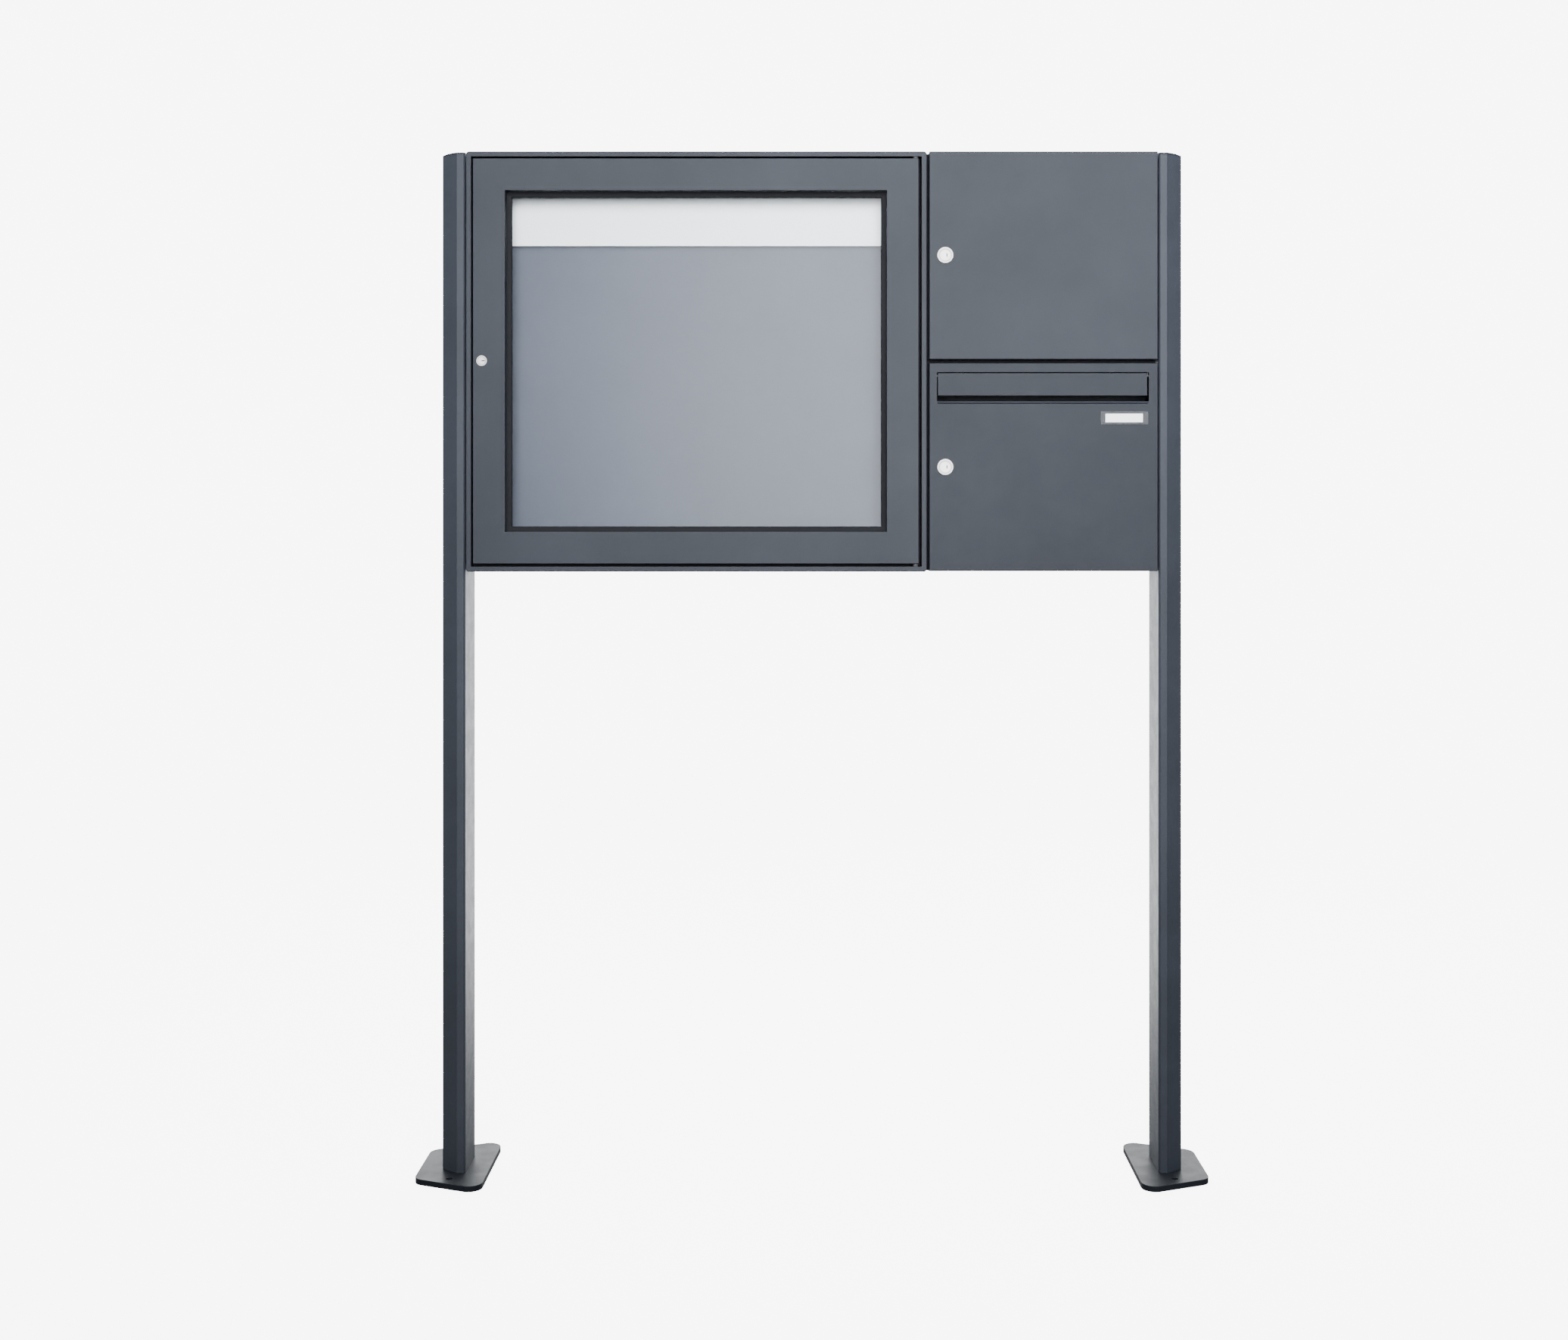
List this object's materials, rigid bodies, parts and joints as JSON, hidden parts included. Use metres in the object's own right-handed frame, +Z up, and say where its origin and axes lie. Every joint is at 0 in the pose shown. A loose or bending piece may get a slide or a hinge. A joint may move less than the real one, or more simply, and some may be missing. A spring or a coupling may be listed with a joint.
{
  "type": "cluster mailbox unit",
  "caption": "Free-standing cluster mailbox unit: a glazed display case, a plain locker box and a letterbox with a flap, hung between posts on floor plates.",
  "frame": {"origin": "on the floor, at the middle of the rectangle round the two floor plates", "axes": "+X to the right of a person facing the doors, +Y to the back of the unit, +Z up"},
  "size_m": [1.26, 0.196, 1.6375],
  "materials": {
    "alu_coat": "satin powder coat, anthracite grey",
    "powder_coat": "satin powder coat, anthracite grey",
    "zinc_steel": "zinc plated",
    "lock_nickel": "satin nickel",
    "black_rubber": "matt",
    "bush_plastic": "matt",
    "clear_glass": "clear",
    "board_grey": "matt light grey",
    "header_white": "matt white",
    "holder_plastic": "clear-grey gloss",
    "card_white": "matt white card"
  },
  "bodies": {
    "unit": {"left_post": "alu_coat", "right_post": "alu_coat", "left_post_cap": "alu_coat", "right_post_cap": "alu_coat", "left_base_plate": "powder_coat", "right_base_plate": "powder_coat", "base_plate_screws": "zinc_steel", "post_fixing_screws": "zinc_steel", "post_rivet_nuts": "zinc_steel", "post_spacers": "bush_plastic", "joining_screws": "zinc_steel", "joining_nuts": "zinc_steel", "case_joint_spacers": "bush_plastic", "box_joint_spacers": "bush_plastic", "joint_strip": "black_rubber", "display_case_frame": "alu_coat", "display_case_back": "powder_coat", "case_back_rivets": "zinc_steel", "notice_board": "board_grey", "board_standoffs": "bush_plastic", "header_strip": "header_white", "header_brackets": "zinc_steel", "case_door_seal": "black_rubber", "case_hinge_pins": "zinc_steel", "upper_box_body": "powder_coat", "upper_box_back": "powder_coat", "letterbox_body": "powder_coat", "letterbox_back": "powder_coat", "box_hinge_pins": "zinc_steel", "box_door_buffers": "black_rubber"},
    "display_door": {"display_door_frame": "alu_coat", "display_glass": "clear_glass", "glass_gasket": "black_rubber", "glass_clips": "zinc_steel", "glass_clip_screws": "zinc_steel", "display_hinge_bushes": "bush_plastic", "display_lock_body": "lock_nickel", "display_lock_nut": "zinc_steel"},
    "display_lock": {"display_lock_plug": "lock_nickel", "display_lock_cam": "zinc_steel", "display_cam_screw": "zinc_steel"},
    "upper_door": {"upper_door_panel": "powder_coat", "upper_hinge_bushes": "bush_plastic", "upper_lock_body": "lock_nickel", "upper_lock_nut": "zinc_steel"},
    "upper_lock": {"upper_lock_plug": "lock_nickel", "upper_lock_cam": "zinc_steel", "upper_cam_screw": "zinc_steel"},
    "letterbox_door": {"letterbox_door_panel": "powder_coat", "letterbox_hinge_bushes": "bush_plastic", "letterbox_lock_body": "lock_nickel", "letterbox_lock_nut": "zinc_steel", "nameplate_holder": "holder_plastic", "name_card": "card_white", "flap_hinge_rod": "zinc_steel", "flap_spring": "zinc_steel"},
    "letterbox_lock": {"letterbox_lock_plug": "lock_nickel", "letterbox_lock_cam": "zinc_steel", "letterbox_cam_screw": "zinc_steel"},
    "flap": {"letter_flap": "powder_coat"}
  },
  "joints": [
    {"name": "display_door_hinge", "type": "hinge", "parent": "unit", "child": "display_door", "pos_m": [0.165, -0.047, 1.30375], "axis": [0, 0, 1], "range_deg": [0, 110]},
    {"name": "display_lock_turn", "type": "hinge", "parent": "display_door", "child": "display_lock", "pos_m": [-0.5245, -0.053, 1.304], "axis": [0, 1, 0], "range_deg": [0, 90]},
    {"name": "upper_door_hinge", "type": "hinge", "parent": "unit", "child": "upper_door", "pos_m": [0.54475, -0.048, 1.47175], "axis": [0, 0, 1], "range_deg": [0, 100]},
    {"name": "upper_lock_turn", "type": "hinge", "parent": "upper_door", "child": "upper_lock", "pos_m": [0.2118, -0.053, 1.47175], "axis": [0, 1, 0], "range_deg": [0, 90]},
    {"name": "letterbox_door_hinge", "type": "hinge", "parent": "unit", "child": "letterbox_door", "pos_m": [0.54475, -0.048, 1.13525], "axis": [0, 0, 1], "range_deg": [0, 100]},
    {"name": "letterbox_lock_turn", "type": "hinge", "parent": "letterbox_door", "child": "letterbox_lock", "pos_m": [0.2118, -0.053, 1.13525], "axis": [0, 1, 0], "range_deg": [0, 90]},
    {"name": "letter_flap_hinge", "type": "hinge", "parent": "letterbox_door", "child": "flap", "pos_m": [0.36638, -0.0491, 1.2803], "axis": [-1, 0, 0], "range_deg": [0, 75], "stiffness_Nm_per_rad": 0.01, "springref_deg": -28.65}
  ]
}
